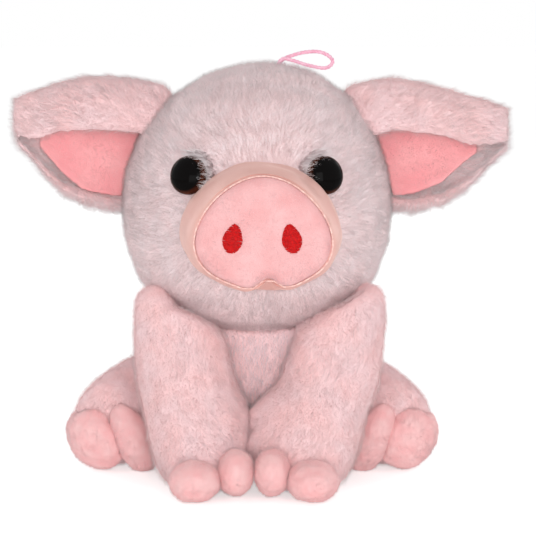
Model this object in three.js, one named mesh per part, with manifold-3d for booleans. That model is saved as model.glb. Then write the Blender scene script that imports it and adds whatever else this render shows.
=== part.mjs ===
// Sitting plush pig, facing -Y. Millimetres, +Z up, standing on z = 0.
// Left and right are the viewer's: left pieces lie at -X, right pieces at +X.
import * as THREE from 'three';
import { mergeVertices } from 'three/addons/utils/BufferGeometryUtils.js';
import Module from 'manifold-3d';

const wasm = await Module();
wasm.setup();

// Clearances, cloth and floor
const seat = 0.3; // gap between two pieces that are sewn or pressed together
const play = 0.5; // gap between two pieces that move on each other
const plush = 3; // long-pile fabric, backing and lower pile together
const minky = 2; // short-pile fabric
const floorSink = 0.5; // depth that the stuffing flattens where it stands
const blockSize = 400; // cutting blocks, larger than the toy

// Stuffed forms. Each row of shares is one ring: how far along the form, then its
// half width and half depth as shares of the form's own, then how much of the
// form's lean aside and ahead it has. A ring of no width is a closed end.
const head = {
  width: 133,
  depth: 124,
  length: 136,
  lean: 3,
  x: -0.8,
  y: 6,
  z: 62.7,
  sides: 22,
  room: 2.4,
  nod: 8,
  shares: [
    [0, 0, 0],
    [0.03, 0.36, 0.38],
    [0.1, 0.66, 0.67],
    [0.21, 0.88, 0.88],
    [0.35, 0.98, 0.97],
    [0.48, 1, 1],
    [0.61, 0.97, 0.975, 0],
    [0.74, 0.875, 0.89, 0.15],
    [0.86, 0.71, 0.73, 0.5],
    [0.955, 0.43, 0.45, 0.9],
    [0.985, 0.24, 0.25, 1],
    [1, 0, 0, 1],
  ],
};

const body = {
  width: 117,
  depth: 103,
  length: 112,
  lean: 18,
  x: 0.8,
  y: 30,
  sides: 22,
  shares: [
    [0, 0, 0, 0, 0],
    [0.02, 0.66, 0.65, 0, 0],
    [0.08, 0.86, 0.86, 0, 0.05],
    [0.19, 0.97, 0.97, 0, 0.1],
    [0.35, 1, 1, 0, 0.17],
    [0.51, 0.985, 0.97, 0, 0.25],
    [0.65, 0.93, 0.9, 0, 0.45],
    [0.78, 0.84, 0.8, 0, 0.67],
    [0.89, 0.67, 0.63, 0, 0.89],
    [0.97, 0.37, 0.35, 0, 1],
    [1, 0, 0, 0, 1],
  ],
};

const frontLeg = {
  width: 46,
  depth: 50,
  length: 100,
  splay: 18,
  reach: 25,
  lean: 3,
  apart: 23,
  x: -2.2,
  y: -46,
  sides: 14,
  shoulderHeight: 80,
  shoulderY: -14,
  swing: 20,
  shares: [
    [0, 0, 0, 0, 0],
    [0.02, 0.87, 0.82, 0.03, 0],
    [0.08, 0.98, 0.98, 0.08, 0],
    [0.18, 1.06, 1, 0.16, -0.08],
    [0.32, 1.12, 0.9, 0.25, -0.28],
    [0.47, 1.05, 0.84, 0.62, -0.5],
    [0.63, 1.01, 0.8, 0.78, -0.7],
    [0.79, 0.92, 0.73, 0.95, -0.86],
    [0.91, 0.86, 0.62, 1, -0.96],
    [0.98, 0.56, 0.42, 1, -1],
    [1, 0, 0, 1, -1],
  ],
};

const hindLeg = {
  width: 48,
  depth: 53,
  length: 70,
  splay: 26,
  drop: 5,
  apart: 44,
  x: -3,
  y: 50,
  sides: 14,
  hipY: 42,
  hipHeight: 20,
  swing: 15,
  shares: [
    [0, 0, 0, 0, 0],
    [0.04, 0.42, 0.44, 0, 0],
    [0.16, 0.8, 0.84, 0.08, 0],
    [0.35, 1, 1, 0.3, 0.05],
    [0.56, 0.99, 0.95, 0.58, 0.3],
    [0.75, 0.91, 0.87, 0.84, 0.64],
    [0.89, 0.83, 0.82, 0.98, 0.9],
    [0.97, 0.62, 0.62, 1, 1],
    [1, 0, 0, 1, 1],
  ],
};

// Snout: a short cone of satin with a soft face sewn into its front
const snout = {
  width: 76,
  depth: 60,
  length: 51,
  lean: 1,
  x: 0.6,
  z: 124.7,
  front: -87,
  seamShare: 0.9,
  pear: 0.1,
  sides: 24,
  shares: [
    [0, 0, 0, 0, 0],
    [0.01, 0.96, 0.96, 0, 0],
    [0.3, 0.97, 0.97, 0.2, 0],
    [0.62, 0.94, 0.94, 0.6, 0],
    [0.9, 0.8, 0.84, 1, 0],
    [0.97, 0.6, 0.62, 1, 0],
    [1, 0, 0, 1, 0],
  ],
};

const nostril = {
  width: 9,
  height: 13,
  stitching: 1,
  apart: 26,
  x: 1.7,
  z: 122.4,
  tilt: 12,
};

// Safety eyes: domed button, ribbed shank and the lock washer behind the cloth
const eye = {
  diameter: 18,
  dome: 6,
  rim: 1.5,
  shank: 4,
  shankLength: 11,
  apart: 61.5,
  z: 147,
  washer: 13,
  washerDepth: 4.8,
  washerThickness: 1.5,
  sides: 16,
};

// Ears: plush back folded forward over the top, with a soft pink lining
const ear = {
  length: 83,
  height: 71,
  x: 40,
  y: 12,
  z: 122.5,
  sweep: 3,
  clothShare: 0.06,
  cloth: 3.4,
  lining: 1.8,
  hingeX: 60,
  hingeZ: 155,
  hingeLean: 21,
  flopBack: 10,
  flopForward: 20,
  rightStretch: 4.5,
  // along the ear, lower edge, upper edge, how much lower the flap hangs
  edgeShares: {
    left: [
      [0, 0.03, 0.86, -0.04],
      [0.06, 0.02, 0.93, -0.04],
      [0.22, 0, 0.975, -0.04],
      [0.37, -0.005, 1, -0.005],
      [0.52, 0.035, 0.993, 0.01],
      [0.67, 0.125, 0.955, 0.035],
      [0.77, 0.26, 0.905, 0.15],
      [0.85, 0.38, 0.867, 0.27],
      [0.91, 0.46, 0.84, 0.33],
      [0.95, 0.54, 0.805, 0.35],
    ],
    right: [
      [0, 0.03, 0.86, -0.03],
      [0.06, 0.02, 0.93, -0.03],
      [0.21, 0, 0.97, -0.03],
      [0.31, -0.005, 0.985, -0.01],
      [0.43, -0.005, 0.96, -0.01],
      [0.58, 0.04, 0.912, 0],
      [0.72, 0.16, 0.855, 0.11],
      [0.86, 0.345, 0.798, 0.25],
      [0.92, 0.42, 0.77, 0.32],
      [0.95, 0.455, 0.745, 0.34],
    ],
  },
  liningEdgeShares: {
    left: [
      [0.06, 0.095, 0.73],
      [0.22, 0.08, 0.76],
      [0.37, 0.085, 0.77],
      [0.52, 0.155, 0.77],
      [0.67, 0.31, 0.73],
      [0.75, 0.415, 0.67],
      [0.8, 0.49, 0.62],
    ],
    right: [
      [0.06, 0.15, 0.73],
      [0.21, 0.145, 0.76],
      [0.31, 0.145, 0.77],
      [0.43, 0.165, 0.75],
      [0.58, 0.24, 0.71],
      [0.7, 0.37, 0.65],
      [0.78, 0.45, 0.6],
    ],
  },
  // middle of the cloth from the lower rim, up the back and over to the flap's edge,
  // and how much of the flap's hang each point has
  backShares: [
    [-0.055, 0.085],
    [0.03, 0.1],
    [0.1, 0.32],
    [0.115, 0.62],
    [0.075, 0.86],
    [-0.02, 0.935],
    [-0.13, 0.88, 0.1],
    [-0.185, 0.76, 0.55],
    [-0.2, 0.64, 1],
  ],
  liningShares: [
    [-0.06, 0],
    [0.03, 0.27],
    [0.05, 0.62],
    [0.01, 1],
  ],
};

// Hooves: pairs of small stuffed lobes, and the cleft soles of the hind feet
const lobeShares = [
  [0, 0, 0],
  [0.06, 0.5, 0.5],
  [0.25, 0.87, 0.87],
  [0.5, 1, 1],
  [0.75, 0.87, 0.87],
  [0.94, 0.5, 0.5],
  [1, 0, 0],
];
const frontHooves = {
  outer: { width: 24, depth: 18.5, length: 28, apart: 27, low: 0, front: -85.5 },
  inner: { width: 16.5, depth: 21.5, length: 26, apart: 8.4, low: 1.5, front: -80 },
};
const hindHooves = {
  inner: { width: 20, depth: 40, length: 22, apart: 58.5, low: -2.5, front: -26, lean: 24 },
  outer: { width: 30, depth: 36, length: 24, apart: 74.8, low: -1, front: -25, lean: 38 },
};
const hoofSides = 14;

// Neck: the plug of stuffing that the head turns on
const neck = { diameter: 38, holeDiameter: 28, bottom: 48, sides: 24 };

// Tail: a thin stuffed tube that makes one curl
const tail = {
  diameter: 6,
  curl: 13,
  pitch: 7,
  turns: 1.1,
  x: 0.8,
  z: 42,
  rootInset: 11.5,
  curlInset: 2.5,
  sides: 8,
  steps: 16,
  wag: 20,
};

// Hang loop: a braided cord whose two ends go into the seam on top of the head
const loop = {
  diameter: 2,
  sides: 8,
  steps: 26,
  route: [
    [7.5, 8.5, 192],
    [11.2, 8.5, 198.6],
    [17.2, 8.8, 201.4],
    [23.2, 9, 202.8],
    [29.2, 8.8, 203],
    [33.7, 8, 201.4],
    [36.2, 6.5, 198.6],
    [34.6, 5, 196],
    [31, 4.3, 195.2],
    [23.2, 4, 196.8],
    [16, 4, 199],
    [11, 4, 199.2],
    [7.5, 4, 192],
  ],
};

const sidesOf = [
  { name: 'left', sign: -1 },
  { name: 'right', sign: 1 },
];

// Finishes
const finish = (color, roughness) => new THREE.MeshStandardMaterial({ color, roughness, metalness: 0 });
const plushFur = finish('#e9c3c3', 0.95);
const stuffing = finish('#f4f2ee', 1);
const pinkMinky = finish('#f6b3b5', 0.85);
const liningMinky = finish('#f79fa4', 0.85);
const satin = finish('#e3a99b', 0.55);
const redThread = finish('#b3131a', 0.5);
const blackPlastic = finish('#1c100c', 0.12);
const whitePlastic = finish('#e8e6e0', 0.5);
const pinkCord = finish('#e79ac0', 0.7);

// Rings of points joined into one closed skin, its first and last row a single point
function stuffed(form, grow = 0) {
  const points = [];
  const rows = form.shares.map(([along, across, deep, asideShare = 0, aheadShare = 0]) => {
    const isEnd = across === 0;
    const halfWidth = isEnd ? 0 : (across * form.width) / 2 + grow;
    const halfDepth = isEnd ? 0 : (deep * form.depth) / 2 + grow;
    const z = along * form.length + grow * (2 * along - 1);
    const row = [];
    for (let i = 0; i < (isEnd ? 1 : form.sides); i += 1) {
      const angle = (2 * Math.PI * i) / form.sides;
      const narrowing = 1 - (form.pear ?? 0) * Math.sin(angle);
      row.push(points.length / 3);
      points.push(
        asideShare * (form.aside ?? 0) + halfWidth * Math.cos(angle) * narrowing,
        aheadShare * (form.ahead ?? 0) + halfDepth * Math.sin(angle),
        z,
      );
    }
    return row;
  });
  const index = [];
  for (let r = 0; r + 1 < rows.length; r += 1) {
    const low = rows[r];
    const high = rows[r + 1];
    for (let i = 0; i < form.sides; i += 1) {
      const j = (i + 1) % form.sides;
      if (low.length > 1) index.push(low[i], low[j], high[high.length > 1 ? j : 0]);
      if (high.length > 1) index.push(low[low.length > 1 ? i : 0], high[j], high[i]);
    }
  }
  const geometry = new THREE.BufferGeometry();
  geometry.setAttribute('position', new THREE.Float32BufferAttribute(points, 3));
  geometry.setIndex(index);
  return geometry;
}

// The same form lying down, its length along -Y and its depth along +Z
const lying = (form, grow) => stuffed(form, grow).rotateX(Math.PI / 2);

function solidOf(geometry) {
  const bare = geometry.clone();
  bare.deleteAttribute('normal');
  bare.deleteAttribute('uv');
  const { attributes, index } = mergeVertices(bare);
  const mesh = new wasm.Mesh({
    numProp: 3,
    vertProperties: new Float32Array(attributes.position.array),
    triVerts: new Uint32Array(index.array),
  });
  return new wasm.Manifold(mesh);
}

function geometryOf(solid) {
  const mesh = solid.getMesh();
  const geometry = new THREE.BufferGeometry();
  geometry.setAttribute('position', new THREE.BufferAttribute(mesh.vertProperties, 3));
  geometry.setIndex(new THREE.BufferAttribute(mesh.triVerts, 1));
  return geometry;
}

const join = (geometries) => geometries.map(solidOf).reduce((sum, next) => sum.add(next));

function cut(geometry, ...tools) {
  return geometryOf(tools.reduce((rest, tool) => rest.subtract(solidOf(tool)), solidOf(geometry)));
}

const shared = (first, second) => geometryOf(solidOf(first).intersect(solidOf(second)));

// Every place that a form passes through as it turns about a line, joined
function swept(geometry, pivot, axis, degrees) {
  const turned = degrees.map((angle) =>
    geometry
      .clone()
      .translate(-pivot.x, -pivot.y, -pivot.z)
      .applyMatrix4(new THREE.Matrix4().makeRotationAxis(axis, THREE.MathUtils.degToRad(angle)))
      .translate(pivot.x, pivot.y, pivot.z),
  );
  return geometryOf(join(turned));
}

const spread = (from, to, count) =>
  Array.from({ length: count }, (_, i) => from + ((to - from) * i) / (count - 1));

const belowFloor = () =>
  new THREE.BoxGeometry(blockSize, blockSize, blockSize).translate(0, 0, -blockSize / 2);

// A group at a pivot, whose pieces are given where they lie in the whole toy
function pivotGroup(parent, pivot) {
  const group = new THREE.Group();
  group.position.copy(pivot).sub(parent.userData.pivot);
  group.userData.pivot = pivot;
  parent.add(group);
  return group;
}

function place(group, name, geometry, material) {
  const { x, y, z } = group.userData.pivot;
  const mesh = new THREE.Mesh(geometry.translate(-x, -y, -z), material);
  mesh.name = name;
  group.add(mesh);
}

const upAxis = new THREE.Vector3(0, 0, 1);
const sideAxis = new THREE.Vector3(1, 0, 0);

const pig = new THREE.Group();
pig.userData.pivot = new THREE.Vector3();

// Forms in their places
const headForm = (grow) =>
  stuffed({ ...head, aside: head.lean }, grow).translate(head.x, head.y, head.z);
const bodyForm = (grow) =>
  stuffed({ ...body, ahead: -body.lean }, grow).translate(body.x, body.y, -floorSink);
const snoutForm = (grow) =>
  lying({ ...snout, aside: snout.lean }, grow).translate(snout.x, snout.front + snout.length, snout.z);
const frontLegForm = (sign, grow) =>
  stuffed(
    { ...frontLeg, aside: frontLeg.lean + sign * frontLeg.splay, ahead: -frontLeg.reach },
    grow,
  ).translate(
    frontLeg.x + sign * frontLeg.apart,
    frontLeg.y,
    -floorSink,
  );
const hindLegForm = (sign, grow) =>
  lying({ ...hindLeg, aside: sign * hindLeg.splay, ahead: -hindLeg.drop }, grow).translate(
    hindLeg.x + sign * hindLeg.apart,
    hindLeg.y,
    hindLeg.depth / 2 - floorSink,
  );

// The head turns and nods about its middle, in the room left round it
const headMiddle = new THREE.Vector3(head.x, head.y, head.z + head.length / 2);
const headRoom = () => headForm(head.room);
const headNodding = swept(headForm(play), headMiddle, sideAxis, spread(-head.nod, head.nod, 5));

// Neck plug, round about the line that the head turns on
function neckPlug(grow) {
  const radius = neck.diameter / 2 + grow;
  const low = neck.bottom - grow;
  const profile = [
    [0, low],
    [radius, low],
    [radius, headMiddle.z],
    [0, headMiddle.z],
  ].map(([x, z]) => new THREE.Vector2(x, z));
  return new THREE.LatheGeometry(profile, neck.sides).rotateX(Math.PI / 2).translate(head.x, head.y, 0);
}

// Body: plush shell, open under the head, round its stuffing
place(pig, 'body_skin', cut(bodyForm(0), bodyForm(-plush), headRoom(), belowFloor()), plushFur);
place(
  pig,
  'body_fill',
  cut(bodyForm(-plush - seat), headRoom(), neckPlug(play), belowFloor()),
  stuffing,
);

const neckGroup = pivotGroup(pig, headMiddle);
place(neckGroup, 'neck_fill', cut(neckPlug(0), headNodding), stuffing);

// Head
const headGroup = pivotGroup(neckGroup, headMiddle);

// Place and direction of an eye, on the rounded front of the head
function eyePose(sign) {
  const rise = eye.z - headMiddle.z;
  const x = (sign * eye.apart) / 2;
  const ring = Math.sqrt(1 - (2 * rise / head.length) ** 2);
  const halfWidth = (ring * head.width) / 2;
  const halfDepth = (ring * head.depth) / 2;
  const y = -halfDepth * Math.sqrt(1 - (x / halfWidth) ** 2);
  const outward = new THREE.Vector3(
    x / head.width ** 2,
    y / head.depth ** 2,
    rise / head.length ** 2,
  ).normalize();
  return new THREE.Matrix4().compose(
    new THREE.Vector3(x, y, rise).add(headMiddle),
    new THREE.Quaternion().setFromUnitVectors(upAxis, outward),
    new THREE.Vector3(1, 1, 1),
  );
}

function turnedPiece(profile, sign) {
  const points = profile.map(([x, z]) => new THREE.Vector2(x, z));
  return new THREE.LatheGeometry(points, eye.sides).rotateX(Math.PI / 2).applyMatrix4(eyePose(sign));
}

function eyeButton(sign, grow = 0) {
  const radius = eye.diameter / 2 + grow;
  const back = 2 * seat - grow;
  const dome = spread(0, Math.PI / 2, 5).map((angle) => [
    radius * Math.cos(angle),
    back + eye.rim + (eye.dome - eye.rim) * Math.sin(angle) + 2 * grow * Math.sin(angle),
  ]);
  const shank = eye.shank / 2;
  return turnedPiece(
    [[0, -eye.shankLength], [shank, -eye.shankLength], [shank, back], [radius, back], ...dome],
    sign,
  );
}

const washerTop = -eye.washerDepth;
const washerBottom = washerTop - eye.washerThickness;

function shankRoom(sign) {
  const radius = eye.shank / 2 + seat;
  const low = -eye.shankLength - seat;
  return turnedPiece([[0, low], [radius, low], [radius, plush], [0, plush]], sign);
}

function washerRoom(sign) {
  const radius = eye.washer / 2 + seat;
  const low = washerBottom - seat;
  return turnedPiece([[0, low], [radius, low], [radius, plush], [0, plush]], sign);
}

function washerRing(sign) {
  const inner = eye.shank / 2 + seat;
  const outer = eye.washer / 2;
  const corners = [[inner, washerBottom], [outer, washerBottom], [outer, washerTop], [inner, washerTop]];
  return turnedPiece([...corners, corners[0]], sign);
}

const neckHole = new THREE.CylinderGeometry(
  neck.holeDiameter / 2,
  neck.holeDiameter / 2,
  head.length,
  neck.sides,
)
  .rotateX(Math.PI / 2)
  .translate(head.x, head.y, head.z);

place(
  headGroup,
  'head_skin',
  cut(
    headForm(0),
    headForm(-plush),
    snoutForm(-minky),
    neckHole,
    ...sidesOf.map(({ sign }) => shankRoom(sign)),
  ),
  plushFur,
);
place(
  headGroup,
  'head_fill',
  cut(
    headForm(-plush - seat),
    ...sidesOf.map(({ sign }) => shankRoom(sign)),
    ...sidesOf.map(({ sign }) => washerRoom(sign)),
  ),
  stuffing,
);

for (const { name, sign } of sidesOf) {
  place(headGroup, `eye_${name}`, eyeButton(sign), blackPlastic);
  place(headGroup, `eye_washer_${name}`, washerRing(sign), whitePlastic);
}

// Snout: the band and the face meet at the seam near the front
const seamY = snout.front + snout.length * (1 - snout.seamShare);
const inFrontOfSeam = (gap) =>
  new THREE.BoxGeometry(blockSize, blockSize, blockSize).translate(0, seamY + gap - blockSize / 2, 0);
const behindSeam = (gap) =>
  new THREE.BoxGeometry(blockSize, blockSize, blockSize).translate(0, seamY - gap + blockSize / 2, 0);

place(
  headGroup,
  'snout_band',
  cut(
    snoutForm(0),
    snoutForm(-minky),
    headForm(seat),
    inFrontOfSeam(seat / 2),
    ...sidesOf.map(({ sign }) => eyeButton(sign, seat)),
  ),
  satin,
);
place(
  headGroup,
  'snout_face',
  cut(snoutForm(0), snoutForm(-minky), behindSeam(seat / 2)),
  pinkMinky,
);
place(
  headGroup,
  'snout_fill',
  cut(
    snoutForm(-minky - seat),
    headForm(-plush),
    ...sidesOf.map(({ sign }) => eyeButton(sign, seat)),
  ),
  stuffing,
);

// Nostrils: satin-stitched teardrops, their points leaning together at the top
function nostrilPad(sign) {
  const half = nostril.width / 2;
  const tip = nostril.height / 2;
  const drop = new THREE.Shape();
  drop.moveTo(0, tip);
  drop.quadraticCurveTo(half, tip / 2, half, -tip / 3);
  drop.quadraticCurveTo(half, -tip, 0, -tip);
  drop.quadraticCurveTo(-half, -tip, -half, -tip / 3);
  drop.quadraticCurveTo(-half, tip / 2, 0, tip);
  const pad = new THREE.ExtrudeGeometry(drop, {
    depth: snout.length,
    bevelEnabled: false,
    curveSegments: 4,
  })
    .rotateZ(THREE.MathUtils.degToRad(sign * nostril.tilt))
    .rotateX(Math.PI / 2)
    .translate(nostril.x + (sign * nostril.apart) / 2, snout.front + snout.length / 2, nostril.z);
  return cut(shared(pad, snoutForm(seat + nostril.stitching)), snoutForm(seat));
}

for (const { name, sign } of sidesOf) {
  place(headGroup, `nostril_${name}`, nostrilPad(sign), redThread);
}

// A tube of even thickness along a curve
function tube(points, radius, tubeSides, steps) {
  const ring = Array.from({ length: tubeSides }, (_, i) => {
    const angle = (2 * Math.PI * i) / tubeSides;
    return new THREE.Vector2(radius * Math.cos(angle), radius * Math.sin(angle));
  });
  return new THREE.ExtrudeGeometry(new THREE.Shape(ring), {
    steps,
    bevelEnabled: false,
    extrudePath: new THREE.CatmullRomCurve3(points),
  });
}

const loopTube = tube(
  loop.route.map(([x, y, z]) => new THREE.Vector3(x, y, z)),
  loop.diameter / 2,
  loop.sides,
  loop.steps,
);
place(headGroup, 'hang_loop', cut(loopTube, headForm(seat)), pinkCord);

// An ear's cloth: a bent strip, lofted along the ear as the ear narrows
function earCloth(sign, lineShares, edges, thicknessOf) {
  const stops = spread(0, 1, lineShares.length + 2);
  const stripOf = (hang) => {
    const line = new THREE.CatmullRomCurve3(
      lineShares.map(([y, z, hangShare = 0]) => new THREE.Vector3(0, y, z - hangShare * hang)),
    );
    return stops.map((stop) => {
      const { y, z } = line.getPoint(stop);
      const along = line.getTangent(stop);
      return { y, z, normalY: -along.z, normalZ: along.y, alongY: along.y, alongZ: along.z };
    });
  };
  const length = ear.length + (sign > 0 ? ear.rightStretch : 0);
  const points = [];
  const outlines = edges.map(([along, lowShare, highShare, hang = 0]) => {
    const strip = stripOf(hang);
    const low = ear.z + lowShare * ear.height;
    const tall = (highShare - lowShare) * ear.height;
    const half = thicknessOf(tall) / 2;
    const x = head.x + sign * (ear.x + along * length);
    const y = ear.y - along * ear.sweep;
    const at = (stop, out, ahead) => [
      y + stop.y * tall + out * half * stop.normalY + ahead * half * stop.alongY,
      low + stop.z * tall + out * half * stop.normalZ + ahead * half * stop.alongZ,
    ];
    const outline = [
      ...strip.map((stop) => at(stop, 1, 0)),
      at(strip.at(-1), 0, 1),
      ...strip.toReversed().map((stop) => at(stop, -1, 0)),
      at(strip[0], 0, -1),
    ];
    outline.forEach(([pointY, pointZ]) => points.push(x, pointY, pointZ));
    return outline;
  });
  const count = outlines[0].length;
  const index = [];
  for (let r = 0; r + 1 < outlines.length; r += 1) {
    for (let i = 0; i < count; i += 1) {
      const j = (i + 1) % count;
      const [a, b, c, d] = [r * count + i, r * count + j, (r + 1) * count + j, (r + 1) * count + i];
      index.push(a, b, c, a, c, d);
    }
  }
  const last = (outlines.length - 1) * count;
  const other = (stop) => 2 * stops.length - stop;
  const endFaces = [
    [stops.length - 1, stops.length, other(stops.length - 1)],
    [other(0), count - 1, 0],
  ];
  for (let i = 0; i + 1 < stops.length; i += 1) {
    endFaces.push([i, i + 1, other(i + 1)], [i, other(i + 1), other(i)]);
  }
  for (const [a, b, c] of endFaces) index.push(a, c, b, last + a, last + b, last + c);
  if (sign > 0) index.reverse();
  const geometry = new THREE.BufferGeometry();
  geometry.setAttribute('position', new THREE.Float32BufferAttribute(points, 3));
  geometry.setIndex(index);
  return geometry;
}

for (const { name, sign } of sidesOf) {
  const hinge = new THREE.Vector3(head.x + sign * ear.hingeX, ear.y, ear.hingeZ);
  const lean = THREE.MathUtils.degToRad(ear.hingeLean);
  const hingeAxis = new THREE.Vector3(-sign * Math.sin(lean), 0, Math.cos(lean));
  const flops = spread(-ear.flopBack, ear.flopForward, 5).map((angle) => sign * angle);
  const headPast = swept(headForm(play), hinge, hingeAxis, flops);
  const earGroup = pivotGroup(headGroup, hinge);
  const backThickness = (tall) => ear.cloth + ear.clothShare * tall;
  const back = (grow) =>
    earCloth(sign, ear.backShares, ear.edgeShares[name], (tall) => backThickness(tall) + 2 * grow);
  const lining = earCloth(sign, ear.liningShares, ear.liningEdgeShares[name], () => ear.lining);
  place(earGroup, `ear_${name}_back`, cut(back(0), headPast), plushFur);
  place(earGroup, `ear_${name}_lining`, cut(lining, back(seat), headPast), liningMinky);
}

// A hoof lobe, cut by the foot that it is sewn to
function hoofForm(hoof, leg, sign, grow) {
  return lying({ ...hoof, sides: hoofSides, shares: lobeShares }, grow)
    .rotateY(THREE.MathUtils.degToRad(sign * (hoof.lean ?? 0)))
    .translate(
      leg.x + sign * hoof.apart,
      hoof.front + hoof.length,
      hoof.low - floorSink + hoof.depth / 2,
    );
}

function placeHooves(group, hooves, leg, sign, label, footForm) {
  const earlier = [];
  for (const [name, hoof] of Object.entries(hooves)) {
    const cuts = [footForm(seat), ...earlier, belowFloor()];
    place(group, `${label}_hoof_${name}`, cut(hoofForm(hoof, leg, sign, 0), ...cuts), pinkMinky);
    earlier.push(hoofForm(hoof, leg, sign, seat));
  }
}

for (const { name, sign } of sidesOf) {
  // Front leg, hung from the shoulder
  const shoulder = new THREE.Vector3(
    frontLeg.x + frontLeg.lean + sign * (frontLeg.apart + frontLeg.splay),
    frontLeg.shoulderY,
    frontLeg.shoulderHeight,
  );
  const swings = spread(0, frontLeg.swing, 3);
  const legPast = [
    swept(bodyForm(play), shoulder, sideAxis, swings),
    swept(headRoom(), shoulder, sideAxis, swings),
  ];
  const frontGroup = pivotGroup(pig, shoulder);
  const frontLabel = `front_leg_${name}`;
  const frontForm = (grow) => frontLegForm(sign, grow);
  place(
    frontGroup,
    `${frontLabel}_skin`,
    cut(frontForm(0), frontForm(-plush), ...legPast, belowFloor()),
    plushFur,
  );
  place(frontGroup, `${frontLabel}_fill`, cut(frontForm(-plush - seat), ...legPast), stuffing);
  placeHooves(frontGroup, frontHooves, frontLeg, sign, frontLabel, frontForm);

  // Hind leg, lying forward from the hip
  const hip = new THREE.Vector3(hindLeg.x + sign * hindLeg.apart, hindLeg.hipY, hindLeg.hipHeight);
  const hipPast = [swept(bodyForm(play), hip, sideAxis, spread(0, hindLeg.swing, 3))];
  const hindGroup = pivotGroup(pig, hip);
  const hindLabel = `hind_leg_${name}`;
  const hindForm = (grow) => hindLegForm(sign, grow);
  place(
    hindGroup,
    `${hindLabel}_skin`,
    cut(hindForm(0), hindForm(-plush), ...hipPast, belowFloor()),
    plushFur,
  );
  place(hindGroup, `${hindLabel}_fill`, cut(hindForm(-plush - seat), ...hipPast), stuffing);
  placeHooves(hindGroup, hindHooves, hindLeg, sign, hindLabel, hindForm);
}

// Tail, from inside the body out to its curl
const bodyBack = body.y + body.depth / 2;
const tailRoot = new THREE.Vector3(tail.x, bodyBack - tail.rootInset, tail.z);
const curlPoints = Array.from({ length: tail.steps }, (_, i) => {
  const angle = (2 * Math.PI * tail.turns * i) / (tail.steps - 1);
  return new THREE.Vector3(
    tail.x + (tail.curl / 2) * Math.sin(angle),
    bodyBack - tail.curlInset + (tail.pitch * angle) / (2 * Math.PI),
    tail.z + (tail.curl / 2) * (1 - Math.cos(angle)),
  );
});
const tailTube = tube([tailRoot, ...curlPoints], tail.diameter / 2, tail.sides, tail.steps);
const bodyPast = swept(bodyForm(play), tailRoot, upAxis, spread(-tail.wag, tail.wag, 3));
place(pivotGroup(pig, tailRoot), 'tail', cut(tailTube, bodyPast), plushFur);

export default pig;
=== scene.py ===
"""A sitting plush pig, dressed over its CAD frame. Metres, +Z up, facing -Y."""

import math

import bpy
import numpy as np
from mathutils import Matrix, Vector
from mathutils.bvhtree import BVHTree
from mathutils.kdtree import KDTree


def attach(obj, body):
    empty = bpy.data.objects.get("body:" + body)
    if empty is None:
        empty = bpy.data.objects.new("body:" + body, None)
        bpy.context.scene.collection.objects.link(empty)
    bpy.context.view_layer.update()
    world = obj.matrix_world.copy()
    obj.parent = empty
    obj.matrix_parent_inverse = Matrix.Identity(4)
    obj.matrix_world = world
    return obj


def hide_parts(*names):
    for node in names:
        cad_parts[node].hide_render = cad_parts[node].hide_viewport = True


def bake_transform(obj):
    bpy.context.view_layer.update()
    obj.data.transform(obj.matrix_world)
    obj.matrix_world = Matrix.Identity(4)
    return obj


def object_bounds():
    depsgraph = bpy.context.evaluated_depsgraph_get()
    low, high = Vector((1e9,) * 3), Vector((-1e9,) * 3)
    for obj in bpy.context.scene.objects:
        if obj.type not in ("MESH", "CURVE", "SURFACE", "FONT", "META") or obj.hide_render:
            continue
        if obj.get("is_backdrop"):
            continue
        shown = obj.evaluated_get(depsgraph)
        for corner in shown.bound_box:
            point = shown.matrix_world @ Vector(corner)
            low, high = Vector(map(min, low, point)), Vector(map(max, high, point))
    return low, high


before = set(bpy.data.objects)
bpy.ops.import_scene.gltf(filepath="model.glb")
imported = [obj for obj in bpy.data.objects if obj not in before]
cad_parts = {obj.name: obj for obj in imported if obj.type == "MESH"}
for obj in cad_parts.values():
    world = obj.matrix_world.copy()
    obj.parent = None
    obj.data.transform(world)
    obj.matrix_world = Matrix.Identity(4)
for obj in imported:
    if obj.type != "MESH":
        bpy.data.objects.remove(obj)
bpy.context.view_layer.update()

# Body: a tube of long-pile plush, stuffed and sewn shut, sitting on its flattened underside.
# The backing cloth is stretched round the stuffing, and the pile stands on it and is combed
# down from the neck.
mm = 0.001
body_middle_x, body_middle_y, body_top = 0.8 * mm, 20 * mm, 140 * mm
cloth_detail = 1.7 * mm
cloth_rounding = 20
pile_base = 2.6 * mm
tuft_size, tuft_height = 9 * mm, 0.16 * mm
weld_reach = 0.01 * mm
cloth_clear, pile_clear = 0.6 * mm, 0.3 * mm
pile_length = 5 * mm
pile_width = 0.115 * mm
pile_flatness = 0.45
pile_lean = 65
pile_per_m2 = 2.6e6
length_shares, width_shares, gather_shares = (0.78, 1.12), (0.85, 1.15), (0.5, 1.3)
swirl_size, lock_size, leaning_size = 26 * mm, 8 * mm, 14 * mm
comb_scatter, turn_scatter = 0.22, 0.25
lean_drift, lean_scatter, least_lean, most_lean = 0.07, 0.1, 0.1, 1.35
root_depth, probe_start = 0.4 * mm, 0.3 * mm
bare_under = 1.2 * mm
sewn_reach, feet_reach = 6 * mm, 9.5 * mm
tuft_spacing = 7
panel_limit = 49000
blush_size = 34 * mm
backing_weave, backing_relief = 0.9 * mm, 0.3 * mm
body_patch, head_patch = 14 * mm, 11 * mm
neck_rounding = 2


def paint(red, green, blue):
    """A colour as a shader takes it, from its screen values out of 255."""
    screen = np.array([red, green, blue]) / 255
    light = np.where(screen > 0.04045, ((screen + 0.055) / 1.055) ** 2.4, screen / 12.92)
    return (*light.tolist(), 1)


def apply_modifier(piece, kind, **settings):
    modifier = piece.modifiers.new(kind.lower(), kind)
    for key, value in settings.items():
        setattr(modifier, key, value)
    bpy.context.view_layer.objects.active = piece
    bpy.ops.object.modifier_apply(modifier=modifier.name)


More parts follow.
